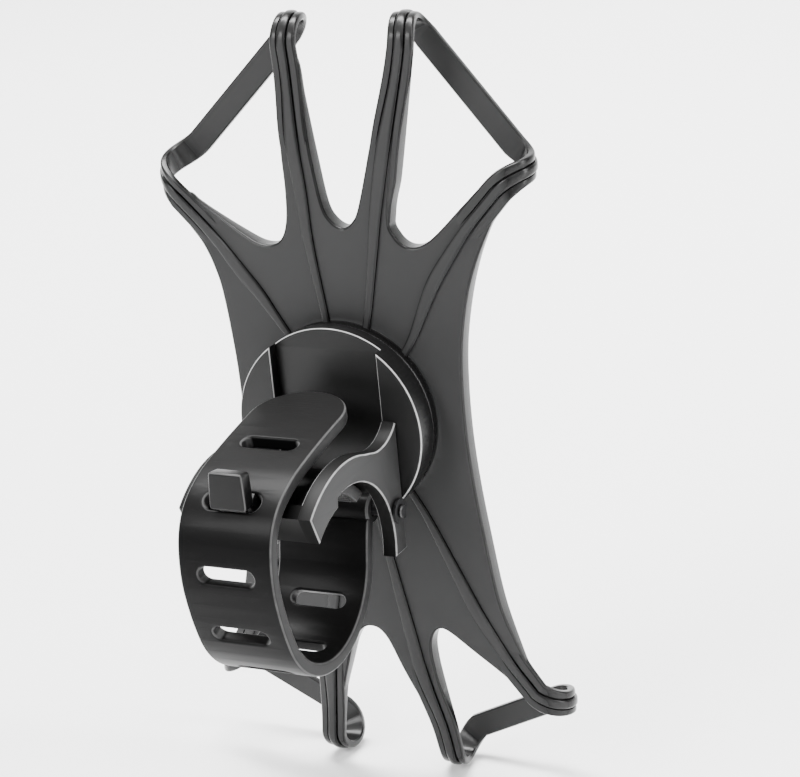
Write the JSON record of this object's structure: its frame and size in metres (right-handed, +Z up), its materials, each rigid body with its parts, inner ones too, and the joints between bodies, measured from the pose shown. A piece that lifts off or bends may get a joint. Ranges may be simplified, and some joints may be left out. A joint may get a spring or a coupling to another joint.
{
  "type": "bicycle phone mount",
  "caption": "Stretch silicone phone cradle with corner loops, turning on a round base with a saddle and a slotted strap for a handlebar.",
  "frame": {"origin": "on the handlebar's axis, at the middle of the strap's width", "axes": "+X along the handlebar, +Y from the handlebar to the phone, +Z up along the phone's long side"},
  "size_m": [0.0796, 0.0656, 0.1548],
  "materials": {
    "silicone": "matte silicone, slightly satin",
    "black_plastic": "satin moulded plastic",
    "rubber": "matte",
    "white_nylon": "natural nylon",
    "steel": "plain steel"
  },
  "bodies": {
    "base": {"base_disc": "black_plastic", "thrust_washer": "white_nylon", "wave_spring": "steel", "retaining_washer": "steel", "swivel_screw": "steel", "base_screw_1": "steel", "base_screw_2": "steel", "base_screw_3": "steel", "base_screw_4": "steel", "saddle": "black_plastic", "bar_liner": "rubber", "strap": "silicone", "strap_pin": "steel", "pin_clip": "steel"},
    "cradle": {"cradle_web": "silicone", "cradle_hub": "black_plastic", "clamp_ring": "black_plastic", "clamp_screw_1": "steel", "clamp_screw_2": "steel", "clamp_screw_3": "steel", "phone_pad": "rubber"}
  },
  "joints": [
    {"name": "cradle_turn", "type": "hinge", "parent": "base", "child": "cradle", "pos_m": [0, 0.0282, 0.0201], "axis": [0, 1, 0], "continuous": true}
  ]
}
